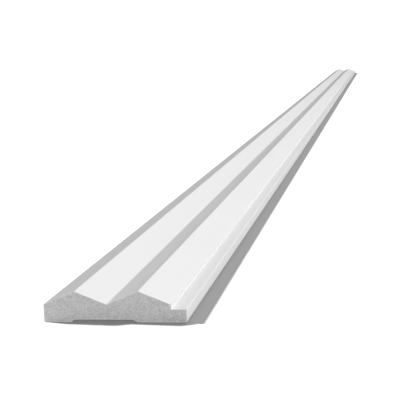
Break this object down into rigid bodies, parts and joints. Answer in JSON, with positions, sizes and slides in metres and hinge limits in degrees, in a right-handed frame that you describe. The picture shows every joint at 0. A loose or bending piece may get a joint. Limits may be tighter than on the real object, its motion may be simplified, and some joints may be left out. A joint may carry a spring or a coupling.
{
  "type": "wall panel end trim",
  "caption": "Long white primed foam trim strip with a ridged zigzag face, a plain finished edge, a thin lap tongue for the next wall panel and a shallow glue relief in its back.",
  "frame": {"origin": "middle of the strip's flat back, on the plane that it is glued to", "axes": "+Y along the strip, +X across it from the finished edge to the lap tongue, +Z out of the back towards the ridged face"},
  "size_m": [0.056, 2.7, 0.012],
  "materials": {
    "primed_foam": "white primer, smooth and matt, over dense foam",
    "bare_foam": "bare fine-celled foam of the two cut ends, pale grey and matt"
  },
  "bodies": {
    "root": {"end_trim": "primed_foam"}
  },
  "joints": []
}
